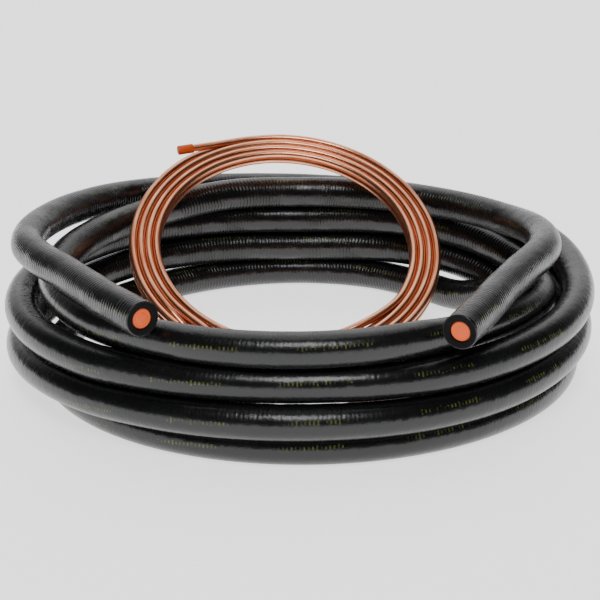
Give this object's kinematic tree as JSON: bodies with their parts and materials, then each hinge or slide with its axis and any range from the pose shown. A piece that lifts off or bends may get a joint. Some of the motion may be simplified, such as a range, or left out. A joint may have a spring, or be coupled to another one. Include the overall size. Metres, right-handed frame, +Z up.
{
  "type": "mini split line set",
  "caption": "Coil of black insulated suction line with a smaller coil of bare copper liquid line leaning in its eye, all ends capped.",
  "frame": {"origin": "middle of the overall box, on the floor that the coils lie on", "axes": "+Z up, along the big coil's axis; -Y towards the side where the two insulated ends lie; +X to the right from there"},
  "size_m": [0.6848, 0.6956, 0.2084],
  "materials": {
    "black_foam": "closed-cell foam with a smooth, slightly wrinkled black skin, satin",
    "copper": "bare drawn copper, bright with light handling streaks",
    "orange_plastic": "soft moulded orange plastic"
  },
  "bodies": {
    "root": {"insulation_sleeve": "black_foam", "suction_tube": "copper", "suction_cap_a": "orange_plastic", "suction_cap_b": "orange_plastic", "liquid_tube": "copper", "liquid_cap_a": "orange_plastic", "liquid_cap_b": "orange_plastic"}
  },
  "joints": []
}
